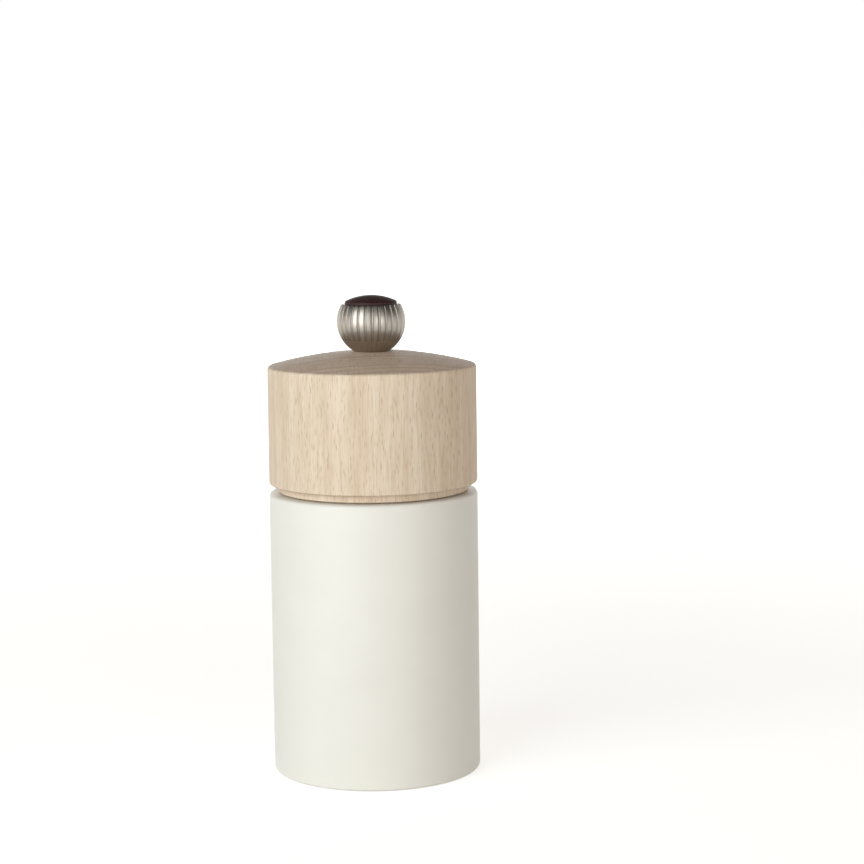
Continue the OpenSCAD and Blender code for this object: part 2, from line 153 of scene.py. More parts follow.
# A little air keeps the paper and the mill's foot from lying in one plane
bmesh.ops.translate(floor_mesh, verts=paper_edge, vec=(0, 0, -FLOOR_GAP * MM))
floor = bpy.data.objects.new("floor", bpy.data.meshes.new("floor"))
floor_mesh.to_mesh(floor.data)
floor_mesh.free()
scene.collection.objects.link(floor)
paper, tree = new_material("white paper floor")
place = add(tree, "ShaderNodeTexCoord")
far = add(tree, "ShaderNodeVectorMath", {"operation": "LENGTH"}, {0: place.outputs["Object"]})
# Far from the mill the paper runs out into plain white, as a long sweep of it does
sweep = add(tree, "ShaderNodeMapRange", {"interpolation_type": "SMOOTHSTEP"},
            {"Value": far.outputs["Value"], "From Min": 100 * MM, "From Max": 900 * MM,
             "To Min": 0.62, "To Max": 1.0})
glow = add(tree, "ShaderNodeMath", {"operation": "MULTIPLY"},
           {0: seen_rays(tree), 1: sweep.outputs["Result"]})
matt = add(tree, "ShaderNodeBsdfDiffuse", None, {"Color": linear("#e4e3e0")})
lift = add(tree, "ShaderNodeEmission", None, {"Strength": glow.outputs[0]})
both = add(tree, "ShaderNodeAddShader", None, {0: matt.outputs[0], 1: lift.outputs[0]})
add(tree, "ShaderNodeOutputMaterial", None, {"Surface": both.outputs[0]})
floor.data.materials.append(paper)
print("floor", floor.dimensions[:])

# %% [markdown]
# ## The room
# A white backdrop stands all round, and the camera sees it as plain white. Above it the room is greyer
# at the sides, behind and overhead. Metal mirrors backdrop and room together, and that is what gives
# the steel knob its shape. The soft light that they throw on the mill is warmer and more even.

# %% World
world = bpy.data.worlds.new("studio")
scene.world = world
world.use_nodes = True
tree = world.node_tree
tree.nodes.clear()
direction = add(tree, "ShaderNodeTexCoord")
axes = add(tree, "ShaderNodeSeparateXYZ", None, {0: direction.outputs["Generated"]})
depth = add(tree, "ShaderNodeMath", {"operation": "ABSOLUTE"}, {0: axes.outputs["Y"]})
# Full strength at the horizon and a fifth of that overhead
overhead = add(tree, "ShaderNodeMapRange", {"interpolation_type": "SMOOTHSTEP"},
               {"Value": axes.outputs["Z"], "From Min": 0.1, "From Max": 0.9, "To Min": 1.0, "To Max": 0.2})
# Soft light: a little over half as strong from the sides
even = add(tree, "ShaderNodeMapRange", {"interpolation_type": "SMOOTHSTEP"},
           {"Value": depth.outputs[0], "From Min": 0.2, "From Max": 0.8, "To Min": 0.57, "To Max": 1.0})
soft_strength = add(tree, "ShaderNodeMath", {"operation": "MULTIPLY"},
                    {0: overhead.outputs["Result"], 1: even.outputs["Result"]})
soft = add(tree, "ShaderNodeBackground", None,
           {"Color": linear("#fff5ea"), "Strength": soft_strength.outputs[0]})
# What is seen: the room has dark sides and a grey rear, and the white backdrop hides its lower part
sides = add(tree, "ShaderNodeMapRange", {"interpolation_type": "SMOOTHSTEP"},
            {"Value": depth.outputs[0], "From Min": 0.2, "From Max": 0.8, "To Min": 0.16, "To Max": 1.0})
rear = add(tree, "ShaderNodeMapRange", {"interpolation_type": "SMOOTHSTEP"},
           {"Value": axes.outputs["Y"], "From Min": 0.1, "From Max": 0.7, "To Min": 1.0, "To Max": 0.55})
room = add(tree, "ShaderNodeMath", {"operation": "MULTIPLY"},
           {0: sides.outputs["Result"], 1: rear.outputs["Result"]})
backdrop = add(tree, "ShaderNodeMapRange", {"interpolation_type": "SMOOTHSTEP"},
               {"Value": axes.outputs["Z"], "From Min": 0.08, "From Max": 0.3,
                "To Min": 1.0, "To Max": room.outputs[0]})
white_strength = add(tree, "ShaderNodeMath", {"operation": "MULTIPLY"},
                     {0: overhead.outputs["Result"], 1: backdrop.outputs["Result"]})
white = add(tree, "ShaderNodeBackground", None,
            {"Color": linear("#ffffff"), "Strength": white_strength.outputs[0]})
mixed = add(tree, "ShaderNodeMixShader", None,
            {0: seen_rays(tree), 1: soft.outputs[0], 2: white.outputs[0]})
add(tree, "ShaderNodeOutputWorld", None, {"Surface": mixed.outputs[0]})
print("world", world.name, len(tree.nodes), "nodes")

# %% [markdown]
# ## The lamps
# In the photograph one broad soft light comes from the left. A lamp with a real size gives soft edges
# to light and shadow, so each is an area lamp that faces the middle of the mill. The broad one gives the
# mill its light side and the knob its bright band. A small one on the right gives the knob its second
# band, and one straight behind lights the far side alone. They stay at a level at which a colour renders
# about as it is written. Azimuth is in degrees from the front towards the right.

# %% Lamps
MILL_MIDDLE = Vector((0, 0, 70 * MM))


def softbox(name, azimuth, height, distance, size, watts, colour):
    lamp = bpy.data.lights.new(name, "AREA")
    lamp.shape = "RECTANGLE"
    lamp.size, lamp.size_y = [side * MM for side in size]
    lamp.energy = watts
    lamp.color = linear(colour)[:3]
    holder = bpy.data.objects.new(name, lamp)
    turn = math.radians(azimuth)
    holder.location = Vector((distance * math.sin(turn), -distance * math.cos(turn), height)) * MM
    holder.rotation_euler = (MILL_MIDDLE - holder.location).to_track_quat("-Z", "Y").to_euler()
    scene.collection.objects.link(holder)


softbox("key_softbox", azimuth=-43, height=280, distance=1000, size=(950, 900), watts=7.9, colour="#f3fcff")
softbox("front_softbox", azimuth=28, height=240, distance=1200, size=(400, 400), watts=1.6, colour="#f8fdff")
softbox("back_softbox", azimuth=180, height=160, distance=1200, size=(700, 500), watts=3.0, colour="#f6fcff")
scene.view_settings.view_transform = "Standard"

# %% [markdown]
# ## Turned pieces
# The body, the head, the knob and the cap are turned on a lathe, so each is an outline spun round the
# axis. An outline needs only its corners: a vertex bevel rounds them, as sandpaper rounds a turned
# edge, and a spin of one vertex about an arc's centre draws a dome.

# %% Helpers for turned pieces
def point(bm, r, z):
    return bm.verts.new((r * MM, 0, z * MM))


def chain(bm, points):
    for a, b in zip(points, points[1:]):
        bm.edges.new((a, b))


def round_corners(bm, corners, radius, segments=6):
    bmesh.ops.bevel(bm, geom=corners, offset=radius * MM, offset_type="OFFSET", affect="VERTICES",
                    segments=segments, profile=0.5, material=-1, clamp_overlap=True)


def arc(bm, start, centre_z, degrees, steps):
    made = bmesh.ops.spin(bm, geom=[start], cent=(0, 0, centre_z * MM), axis=(0, 1, 0),
                          angle=-math.radians(degrees), steps=steps)
    return made["geom_last"][0]


def spin_round(bm, steps=192):
    bmesh.ops.spin(bm, geom=bm.verts[:] + bm.edges[:], cent=(0, 0, 0), axis=(0, 0, 1),
                   angle=2 * math.pi, steps=steps, use_merge=True)


# %% [markdown]
# ## From a mesh to a piece
# Every piece is finished in the same way: vertices that lie on each other are merged, faces are turned
# outwards, and edges sharper than a given angle stay sharp while the rest is shaded smooth. The piece
# then rides on a body of the solids, takes its materials, and stands for one solid, which is hidden.

# %% Helper for finished pieces
WELD = 0.002 * MM


def make_piece(bm, name, materials, body, node, sharp=35):
    bmesh.ops.remove_doubles(bm, verts=bm.verts[:], dist=WELD)
    bmesh.ops.recalc_face_normals(bm, faces=bm.faces[:])
    mesh = bpy.data.meshes.new(name)
    bm.to_mesh(mesh)
    bm.free()
    for material in materials:
        mesh.materials.append(material)
    mesh.shade_smooth()
    mesh.set_sharp_from_angle(angle=math.radians(sharp))
    piece = bpy.data.objects.new(name, mesh)
    scene.collection.objects.link(piece)
    if body:
        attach(piece, body)
    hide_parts(node)
    print(name, len(mesh.polygons), "faces, height", round(piece.dimensions.z / MM, 2), "mm")
    return piece


# %% [markdown]
# ## Satin lacquer on the body
# The body is beech sprayed with a cream-white satin lacquer. A sprayed coat is even, but it follows
# the wood below, so faint upright ridges of the grain show in grazing light, and its gloss
# is a little uneven. The pattern is long along the grain (Z) and narrow across it.

# %% Lacquer
lacquer, tree = new_material("cream-white satin lacquer")
place = add(tree, "ShaderNodeTexCoord")
# Grain lines 0.6 mm wide and about 15 mm long
stretch = add(tree, "ShaderNodeMapping", None,
              {"Vector": place.outputs["Object"], "Scale": per_metre(0.6, 0.6, 15)})
grain = add(tree, "ShaderNodeTexNoise", None,
            {"Vector": stretch.outputs[0], "Scale": 1.0, "Detail": 3.0, "Roughness": 0.6})
# Cloudy patches of about 12 mm, from the spray gun's passes
cloud = add(tree, "ShaderNodeTexNoise", None,
            {"Vector": place.outputs["Object"], "Scale": 1 / (12 * MM), "Detail": 3.0})
tint = add(tree, "ShaderNodeValToRGB", None, {"Fac": cloud.outputs["Fac"]})
tint.color_ramp.elements[0].position = 0.3
tint.color_ramp.elements[0].color = linear("#edebe4")
tint.color_ramp.elements[1].position = 0.7
tint.color_ramp.elements[1].color = linear("#f0eee7")
gloss = add(tree, "ShaderNodeMapRange", None,
            {"Value": cloud.outputs["Fac"], "To Min": 0.40, "To Max": 0.52})
# Orange peel of about 0.8 mm, the skin that a sprayed coat dries to
peel = add(tree, "ShaderNodeTexNoise", None,
           {"Vector": place.outputs["Object"], "Scale": 1 / (0.8 * MM), "Detail": 1.0})
relief = add(tree, "ShaderNodeMath", {"operation": "MULTIPLY_ADD"},
             {0: grain.outputs["Fac"], 1: 0.7, 2: peel.outputs["Fac"]})
bump = add(tree, "ShaderNodeBump", None,
           {"Height": relief.outputs[0], "Strength": 0.12, "Distance": 0.04 * MM})
shader = add(tree, "ShaderNodeBsdfPrincipled", None,
             {"Base Color": tint.outputs["Color"], "Roughness": gloss.outputs["Result"],
              "IOR": 1.5, "Normal": bump.outputs[0]})
add(tree, "ShaderNodeOutputMaterial", None, {"Surface": shader.outputs[0]})
print("made", lacquer.name)

# %% [markdown]
# ## Growth rings
# The head is one block of beech, so its pattern is built in three dimensions, and a face shows whatever
# it cuts. First come the growth rings, about a heart that lies well behind the piece. In front they are
# cut along and give broad upright bands, and on the crown they are cut across and show as arcs.

# %% Growth rings
def growth_rings(tree, place):
    """How far a place is through its year's growth, from 0 to 1."""
    # Slow waves in the grain, 18 mm across and 70 mm along, bend the rings by about 1 mm
    slow = add(tree, "ShaderNodeMapping", None,
               {"Vector": place.outputs["Object"], "Scale": per_metre(18, 18, 70)})
    wave = add(tree, "ShaderNodeTexNoise", None, {"Vector": slow.outputs[0], "Scale": 1.0, "Detail": 2.0})
    sway = add(tree, "ShaderNodeVectorMath", {"operation": "MULTIPLY_ADD"},
               {0: wave.outputs["Color"], 1: (2 * MM, 2 * MM, 0), 2: place.outputs["Object"]})
    # The heart lies 75 mm behind the mill's axis
    heart = add(tree, "ShaderNodeMapping", None,
                {"Vector": sway.outputs[0], "Location": (9 * MM, -75 * MM, 0)})
    flat = add(tree, "ShaderNodeVectorMath", {"operation": "MULTIPLY"}, {0: heart.outputs[0], 1: (1, 1, 0)})
    radius = add(tree, "ShaderNodeVectorMath", {"operation": "LENGTH"}, {0: flat.outputs[0]})
    # Good and poor years differ, so a slow noise along the radius moves each ring by up to its width
    years = add(tree, "ShaderNodeTexNoise", {"noise_dimensions": "1D"},
                {"W": radius.outputs["Value"], "Scale": 1 / (6 * MM), "Detail": 2.0})
    uneven = add(tree, "ShaderNodeMath", {"operation": "MULTIPLY"}, {0: years.outputs["Fac"], 1: 1.5})
    # The rings are about 2.4 mm wide
    count = add(tree, "ShaderNodeMath", {"operation": "MULTIPLY_ADD"},
                {0: radius.outputs["Value"], 1: 1 / (2.4 * MM), 2: uneven.outputs[0]})
    return add(tree, "ShaderNodeMath", {"operation": "FRACT"}, {0: count.outputs[0]}).outputs[0]


# %% [markdown]
# ## Rays
# Beech is known by its rays, thin sheets of cells that run out from the heart. They are thin across X,
# long along Y and a couple of millimetres tall. The front cuts across them, and they show there as short
# dark dashes. Stretched Voronoi cells give thousands of them, each with its own strength.

# %% Rays
def ray_flecks(tree, place, facing):
    """How strongly a ray shows at a place, from 0 to 1."""
    # One cell is 0.38 mm across, 6 mm deep and 3 mm tall, and the ray fills part of it
    cells = add(tree, "ShaderNodeMapping", None,
                {"Vector": place.outputs["Object"], "Scale": per_metre(0.38, 6, 3)})
    ray = add(tree, "ShaderNodeTexVoronoi", {"feature": "F1"},
              {"Vector": cells.outputs[0], "Scale": 1.0, "Randomness": 1.0})
    sheet = add(tree, "ShaderNodeMapRange", {"interpolation_type": "SMOOTHSTEP"},
                {"Value": ray.outputs["Distance"], "From Min": 0.12, "From Max": 0.42,
                 "To Min": 1.0, "To Max": 0.0})
    # A cell's random colour says how strong its ray is
    chance = add(tree, "ShaderNodeSeparateColor", None, {"Color": ray.outputs["Color"]})
    fleck = add(tree, "ShaderNodeMath", {"operation": "MULTIPLY"},
                {0: sheet.outputs["Result"], 1: chance.outputs[0]})
    # At the sides a ray is cut along its sheet, and shows as a broad flake hardly darker than the wood
    sideways = add(tree, "ShaderNodeMath", {"operation": "ABSOLUTE"}, {0: facing.outputs["X"]})
    edge_on = add(tree, "ShaderNodeMapRange", {"interpolation_type": "SMOOTHSTEP"},
                  {"Value": sideways.outputs[0], "From Min": 0.7, "From Max": 0.97,
                   "To Min": 1.0, "To Max": 0.15})
    return add(tree, "ShaderNodeMath", {"operation": "MULTIPLY"},
               {0: fleck.outputs[0], 1: edge_on.outputs["Result"]}).outputs[0]


# %% [markdown]
# ## Beech
# Beech is pale and close-grained. Its colour is laid on as a stain would be, from the broad to the
# fine: streaks, growth rings, fibres and rays, and a darker tone on end grain. The head has a matt clear
# coat. The same wood is used bare inside the body, so one function makes both from their colours.

# %% Beech
def beech_wood(name, pale, mid, dark, fleck_dark, end_dark, rough, relief, relief_depth):
    material, tree = new_material(name)
    place = add(tree, "ShaderNodeTexCoord")
    facing = add(tree, "ShaderNodeSeparateXYZ", None, {0: place.outputs["Normal"]})
    ring = growth_rings(tree, place)
    fleck = ray_flecks(tree, place, facing)
    # Streaks 2.5 mm wide and 40 mm long, where the wood's colour drifts
    broad = add(tree, "ShaderNodeMapping", None,
                {"Vector": place.outputs["Object"], "Scale": per_metre(2.5, 4.5, 40)})
    streak = add(tree, "ShaderNodeTexNoise", None,
                 {"Vector": broad.outputs[0], "Scale": 1.0, "Detail": 4.0, "Roughness": 0.55})
    base = add(tree, "ShaderNodeValToRGB", None, {"Fac": streak.outputs["Fac"]})
    base.color_ramp.elements[0].position = 0.32
    base.color_ramp.elements[0].color = linear(mid)
    base.color_ramp.elements[1].position = 0.66
    base.color_ramp.elements[1].color = linear(pale)
    # Late wood, at the end of each year, is darker
    late = add(tree, "ShaderNodeMapRange", {"interpolation_type": "SMOOTHSTEP"},
               {"Value": ring, "From Min": 0.45, "From Max": 0.97, "To Min": 0.0, "To Max": 0.5})
    ringed = add(tree, "ShaderNodeMix", {"data_type": "RGBA"},
                 {"Factor": late.outputs["Result"], 6: base.outputs["Color"], 7: linear(mid)})
    # Real fibres are thinner than 0.1 mm, and are drawn 0.4 mm wide and 7 mm long so that they show
    fine = add(tree, "ShaderNodeMapping", None,
               {"Vector": place.outputs["Object"], "Scale": per_metre(0.4, 0.4, 7)})
    fibre = add(tree, "ShaderNodeTexNoise", None,
                {"Vector": fine.outputs[0], "Scale": 1.0, "Detail": 3.0, "Roughness": 0.6})
    thread = add(tree, "ShaderNodeMapRange", None,
                 {"Value": fibre.outputs["Fac"], "From Min": 0.46, "From Max": 0.76,
                  "To Min": 0.0, "To Max": 0.6})
    fibred = add(tree, "ShaderNodeMix", {"data_type": "RGBA"},
                 {"Factor": thread.outputs["Result"], 6: ringed.outputs[2], 7: linear(dark)})
    faint = add(tree, "ShaderNodeMath", {"operation": "MULTIPLY"}, {0: fleck, 1: 0.55})
    flecked = add(tree, "ShaderNodeMix", {"data_type": "RGBA"},
                  {"Factor": faint.outputs[0], 6: fibred.outputs[2], 7: linear(fleck_dark)})
    # End grain, where a face looks along Z, soaks up more of the coat and darkens, most in the late wood
    steep = add(tree, "ShaderNodeMath", {"operation": "ABSOLUTE"}, {0: facing.outputs["Z"]})
    end = add(tree, "ShaderNodeMapRange", {"interpolation_type": "SMOOTHSTEP"},
              {"Value": steep.outputs[0], "From Min": 0.5, "From Max": 0.95, "To Min": 0.0, "To Max": 1.0})
    soaked = add(tree, "ShaderNodeMath", {"operation": "MULTIPLY_ADD"},
                 {0: late.outputs["Result"], 1: 0.36, 2: 0.31})
    share = add(tree, "ShaderNodeMath", {"operation": "MULTIPLY"},
                {0: end.outputs["Result"], 1: soaked.outputs[0]})
    colour = add(tree, "ShaderNodeMix", {"data_type": "RGBA"},
                 {"Factor": share.outputs[0], 6: flecked.outputs[2], 7: linear(end_dark)})
    # Pores and rays lie a little lower than the wood round them
    low = add(tree, "ShaderNodeMath", {"operation": "MULTIPLY_ADD"},
              {0: fleck, 1: -0.8, 2: fibre.outputs["Fac"]})
    bump = add(tree, "ShaderNodeBump", None,
               {"Height": low.outputs[0], "Strength": relief, "Distance": relief_depth * MM})
    gloss = add(tree, "ShaderNodeMapRange", None,
                {"Value": fibre.outputs["Fac"], "To Min": rough[0], "To Max": rough[1]})
    shader = add(tree, "ShaderNodeBsdfPrincipled", None,
                 {"Base Color": colour.outputs[2], "Roughness": gloss.outputs["Result"],
                  "IOR": 1.5, "Normal": bump.outputs[0]})
    add(tree, "ShaderNodeOutputMaterial", None, {"Surface": shader.outputs[0]})
    print("made", material.name)
    return material


coated_beech = beech_wood(
    "beech with a matt clear coat", pale="#ecdcc8", mid="#dcc7ae", dark="#c4aa8b",
    fleck_dark="#9c7c5c", end_dark="#92786a", rough=(0.5, 0.66), relief=0.25, relief_depth=0.05)
bare_beech = beech_wood(
    "bare turned beech", pale="#d9c4a4", mid="#c7ad88", dark="#ab8d66",
    fleck_dark="#8d704e", end_dark="#8f7658", rough=(0.68, 0.82), relief=0.5, relief_depth=0.08)

# %% [markdown]
# ## The body
# The outline runs from the rim down the outside, in under the foot, up through the outlet recess and
# the seat of the grinder, and up the bore of the chamber. Only the outside is lacquered: the bore and
# the recess are left as bare wood, which is a second material on the faces that lie in them.

# %% Body
BODY_H = heights("body")[1]
MILL_R, CHAMBER_R, RECESS_R, RECESS_H = 26.2, 17.0, 22.0, 5.5
SEAT_R, SEAT_TOP = 18.25, 6.7
# How far the bare wood reaches over the rounded edge of the bore, and of the recess
BORE_EDGE, RECESS_EDGE = 0.3, 0.05
bm = bmesh.new()
corners = [point(bm, r, z) for r, z in (
    (CHAMBER_R, BODY_H), (MILL_R, BODY_H), (MILL_R, 0), (RECESS_R, 0), (RECESS_R, RECESS_H),
    (SEAT_R, RECESS_H), (SEAT_R, SEAT_TOP), (CHAMBER_R, SEAT_TOP))]
chain(bm, corners + corners[:1])
mouth, rim, foot, recess = corners[:4]
round_corners(bm, [rim, foot], radius=0.8)
round_corners(bm, [mouth, recess], radius=0.35, segments=4)
spin_round(bm)
body_piece = make_piece(bm, "painted_body", [lacquer, bare_beech], "body", "body")
for face in body_piece.data.polygons:
    reach = math.hypot(face.center.x, face.center.y) / MM
    in_bore = reach < CHAMBER_R + BORE_EDGE
    in_recess = reach < RECESS_R + RECESS_EDGE and face.center.z < SEAT_TOP * MM
    face.material_index = 1 if in_bore or in_recess else 0

# %% [markdown]
# ## The head
# The head is one turned block: a spigot that goes down into the chamber, a collar set in from the
# side, the plain cylinder, and a crown that is part of a large sphere, with a flat for the knob.
# Only the inner part of the collar touches the body, which leaves the thin dark gap between the two.

# %% Head
CROWN_EDGE_Z, CROWN_H, CROWN_STEPS, FLAT_R = 102.5, 3.6, 20, 4.65
COLLAR_R, COLLAR_TOP, GAP_R, GAP_H = 23.95, 73.0, 21.95, 0.4
SPIGOT_R, SPIGOT_Z = 16.7, heights("head")[0]
THREAD_BORE_R, SHAFT_BORE_R, BORE_STEP_Z = 2.85, 4.6, 95.0
crown_r = (MILL_R ** 2 + CROWN_H ** 2) / (2 * CROWN_H)
crown_centre_z = CROWN_EDGE_Z + CROWN_H - crown_r
crown_turn = math.degrees(math.asin(MILL_R / crown_r) - math.asin(FLAT_R / crown_r))
bm = bmesh.new()
crown_edge = point(bm, MILL_R, CROWN_EDGE_Z)
flat = arc(bm, crown_edge, crown_centre_z, crown_turn, CROWN_STEPS)
bore = [point(bm, r, z) for r, z in (
    (THREAD_BORE_R, flat.co.z / MM), (THREAD_BORE_R, BORE_STEP_Z),
    (SHAFT_BORE_R, BORE_STEP_Z), (SHAFT_BORE_R, SPIGOT_Z))]
spigot_edge = point(bm, SPIGOT_R, SPIGOT_Z)
seat = [point(bm, r, z) for r, z in ((SPIGOT_R, BODY_H), (GAP_R, BODY_H), (GAP_R, BODY_H + GAP_H))]
collar_foot = point(bm, COLLAR_R, BODY_H + GAP_H)
collar_top = point(bm, COLLAR_R, COLLAR_TOP)
shoulder = point(bm, MILL_R, COLLAR_TOP)
chain(bm, [flat, *bore, spigot_edge, *seat, collar_foot, collar_top, shoulder, crown_edge])
round_corners(bm, [crown_edge, shoulder], radius=0.6)
round_corners(bm, [collar_foot], radius=0.15, segments=3)
round_corners(bm, [spigot_edge], radius=0.3, segments=4)
spin_round(bm)
make_piece(bm, "beech_head", [coated_beech], "head", "head")

# %% [markdown]
# ## Worked steel
# Every metal piece is stainless or plated steel, and what tells them apart is how they were worked:
# a lathe leaves rings round the axis, a brush or a die leaves lines along the piece, and plating leaves
# a fine crystal bloom. One function makes them all from the size of those marks along each axis.
# For turned work the marks are read by distance from the axis and by height, so they run round it.
# Most real marks are finer than the ones here, which are drawn as coarse as they need to show close up.

# %% Steel
def worked_steel(name, dark, light, marks, rough, relief, turned=False):
    material, tree = new_material(name)
    place = add(tree, "ShaderNodeTexCoord").outputs["Object"]
    along = place
    if turned:
        flat = add(tree, "ShaderNodeVectorMath", {"operation": "MULTIPLY"}, {0: place, 1: (1, 1, 0)})
        out = add(tree, "ShaderNodeVectorMath", {"operation": "LENGTH"}, {0: flat.outputs[0]})
        height = add(tree, "ShaderNodeSeparateXYZ", None, {0: place})
        along = add(tree, "ShaderNodeCombineXYZ", None,
                    {"X": out.outputs["Value"], "Z": height.outputs["Z"]}).outputs[0]
    stretch = add(tree, "ShaderNodeMapping", None, {"Vector": along, "Scale": per_metre(*marks)})
    line = add(tree, "ShaderNodeTexNoise", None,
               {"Vector": stretch.outputs[0], "Scale": 1.0, "Detail": 4.0, "Roughness": 0.6})
    # Handling dulls the metal in patches of about 3 mm, which count for less than the marks
    patch = add(tree, "ShaderNodeTexNoise", None, {"Vector": place, "Scale": 1 / (3 * MM), "Detail": 3.0})
    mark = add(tree, "ShaderNodeMath", {"operation": "MULTIPLY"}, {0: line.outputs["Fac"], 1: 0.6})
    blend = add(tree, "ShaderNodeMath", {"operation": "MULTIPLY_ADD"},
                {0: patch.outputs["Fac"], 1: 0.4, 2: mark.outputs[0]})
    tone = add(tree, "ShaderNodeValToRGB", None, {"Fac": blend.outputs[0]})
    tone.color_ramp.elements[0].position = 0.35
    tone.color_ramp.elements[0].color = linear(dark)
    tone.color_ramp.elements[1].position = 0.65
    tone.color_ramp.elements[1].color = linear(light)
    gloss = add(tree, "ShaderNodeMapRange", None,
                {"Value": blend.outputs[0], "From Min": 0.3, "From Max": 0.7,
                 "To Min": rough[0], "To Max": rough[1]})
    bump = add(tree, "ShaderNodeBump", None,
               {"Height": line.outputs["Fac"], "Strength": 0.3, "Distance": relief * MM})
    shader = add(tree, "ShaderNodeBsdfPrincipled", None,
                 {"Base Color": tone.outputs["Color"], "Metallic": 1.0,
                  "Roughness": gloss.outputs["Result"], "Normal": bump.outputs[0]})
    add(tree, "ShaderNodeOutputMaterial", None, {"Surface": shader.outputs[0]})
    print("made", material.name)
    return material


# Satin finish from fine abrasive while the knob spins
knob_steel = worked_steel("satin stainless steel", "#a39a91", "#b5aea4", marks=(0.15, 1, 0.15),
                          rough=(0.28, 0.38), relief=0.01, turned=True)
# The flutes keep the cutter's rougher face, and their darker colour is painted shade in the hollows
flute_shade_steel = worked_steel("steel with painted shade in the flutes", "#8a8177", "#9b938a", marks=(0.15, 1, 0.15),
                           rough=(0.32, 0.44), relief=0.01, turned=True)
# Turned and hardened, with coarser rings from the tool and a duller face
grinder_steel = worked_steel("machined grinder steel", "#8f8f8d", "#a9a9a6", marks=(0.3, 1, 0.3),
                             rough=(0.30, 0.46), relief=0.02, turned=True)
# Rolled and brushed along the strip before it is cut and bent
sheet_steel = worked_steel("brushed stainless sheet", "#949596", "#b3b4b3", marks=(8, 0.15, 0.15),
                           rough=(0.28, 0.42), relief=0.01)
# Drawn through a die, which leaves fine lines along the bar
bar_steel = worked_steel("drawn square bar steel", "#7d7e80", "#a0a1a1", marks=(0.15, 0.15, 12),
                         rough=(0.28, 0.44), relief=0.01)
# Drawn wire, wound round the axis, so its lines run round too
wire_steel = worked_steel("drawn spring wire", "#8d8e90", "#a9aaab", marks=(0.1, 1, 0.1),
                          rough=(0.22, 0.34), relief=0.005, turned=True)
# Zinc plate has a fine bloom of crystals
plated_steel = worked_steel("zinc plated steel", "#a2a5a8", "#bfc1c2", marks=(0.25, 0.25, 0.25),
                            rough=(0.28, 0.44), relief=0.01)

# %% [markdown]
# ## The knob's ball
# The knob is a steel ball, cut flat above and below and bored for the shaft and the cap. It is spun as
# a plain ball first, in a whole number of steps for each flute, so that every flute will find the same
# columns of vertices under it.

# %% Plain ball
KNOB_R, KNOB_SEAT_R, KNOB_BORE_R, BALL_STEPS = 8.6, 4.3, 2.58, 36
CAP_R, CAP_GAP, CAP_SEAT_H = 6.5, 0.05, 1.6
FLUTES, FLUTE_STEPS, FLUTE_TURN = 30, 24, 7.75
knob_low, knob_high = heights("knob")
knob_mid = knob_low + math.sqrt(KNOB_R ** 2 - KNOB_SEAT_R ** 2)
seat_angle = math.degrees(math.acos(KNOB_SEAT_R / KNOB_R))
rim_angle = math.degrees(math.asin((knob_high - knob_mid) / KNOB_R))
cap_floor = knob_high - CAP_SEAT_H
bm = bmesh.new()
seat = point(bm, KNOB_SEAT_R, knob_low)
rim = arc(bm, seat, knob_mid, seat_angle + rim_angle, BALL_STEPS)
inside = [point(bm, r, z) for r, z in (
    (CAP_R + CAP_GAP, knob_high), (CAP_R + CAP_GAP, cap_floor),
    (KNOB_BORE_R, cap_floor), (KNOB_BORE_R, knob_low))]
chain(bm, [rim, *inside, seat])
round_corners(bm, [rim, seat], radius=0.15, segments=3)
spin_round(bm, steps=FLUTES * FLUTE_STEPS)
bmesh.ops.rotate(bm, verts=bm.verts[:], cent=(0, 0, 0),
                 matrix=Matrix.Rotation(math.radians(FLUTE_TURN), 3, "Z"))
print("ball of", 2 * KNOB_R, "mm with its middle at", round(knob_mid, 2), "mm and", len(bm.faces), "faces")

# %% [markdown]
# ## The knob's flutes
# A round cutter makes each flute, deep near the rim and running out towards a plain foot. Booleans with
# thirty cutters would leave ragged faces, so the flutes are pressed in instead: the columns of vertices
# nearest to a flute's middle move inwards along a round trough. Its edges stay sharp, as a cutter leaves
# them, and its deeper part keeps the cutter's rougher finish, with painted shade darkening its colour.

# %% Flutes
FLUTE_HALF_STEPS, FLUTE_DEPTH = 5, 0.3
# The cutter swings about a point past the axis, so the depth falls with the tilt, and less so upwards
FLUTE_FALL, FLUTE_LEAN = 0.5, 0.137
# Below this depth a flute takes the rougher steel, whose darker colour is painted shade in the hollow
FLUTE_SHADE_DEPTH = 0.15
# Vertices no further than this below the ball's surface belong to it
BALL_SKIN = 0.2
ball_middle = Vector((0, 0, knob_mid * MM))


def flute_at(place):
    """How far a place on the ball is across its nearest flute, 0 to 1, and how deep that flute is there."""
    arm = place - ball_middle
    tilt = math.atan2(arm.z, math.hypot(arm.x, arm.y))
    pitches = (math.degrees(math.atan2(arm.y, arm.x)) - FLUTE_TURN) * FLUTES / 360
    deepest = FLUTE_DEPTH - FLUTE_FALL * (1 - math.cos(tilt)) + FLUTE_LEAN * math.sin(tilt)
    return abs(pitches - round(pitches)) * FLUTE_STEPS / FLUTE_HALF_STEPS, deepest


ball = {v for v in bm.verts if (v.co - ball_middle).length > (KNOB_R - BALL_SKIN) * MM}
for face in [f for f in bm.faces if ball.issuperset(f.verts)]:
    across, deepest = flute_at(face.calc_center_median())
    # Deep flute faces get the second material, which paints shade into the hollow
    face.material_index = 1 if across < 1 and deepest > FLUTE_SHADE_DEPTH else 0
for vert in ball:
    across, deepest = flute_at(vert.co)
    # The outermost columns stay on the ball and make the sharp edges
    if across < 0.99 and deepest > 0:
        vert.co -= (vert.co - ball_middle).normalized() * (deepest * MM * math.sqrt(1 - across ** 2))
make_piece(bm, "fluted_knob", [knob_steel, flute_shade_steel], "knob", "knob", sharp=40)

# %% [markdown]
# ## The cap
# The cap is moulded in plastic, nearly black with a touch of brown: a short upright edge and a low
# dome. A moulded face is smooth, so its detail is only in the gloss: hairline scratches from wiping,
# wider here than real ones so that they show, and a haze.

# %% Cap
plastic, tree = new_material("moulded near-black plastic")
place = add(tree, "ShaderNodeTexCoord")
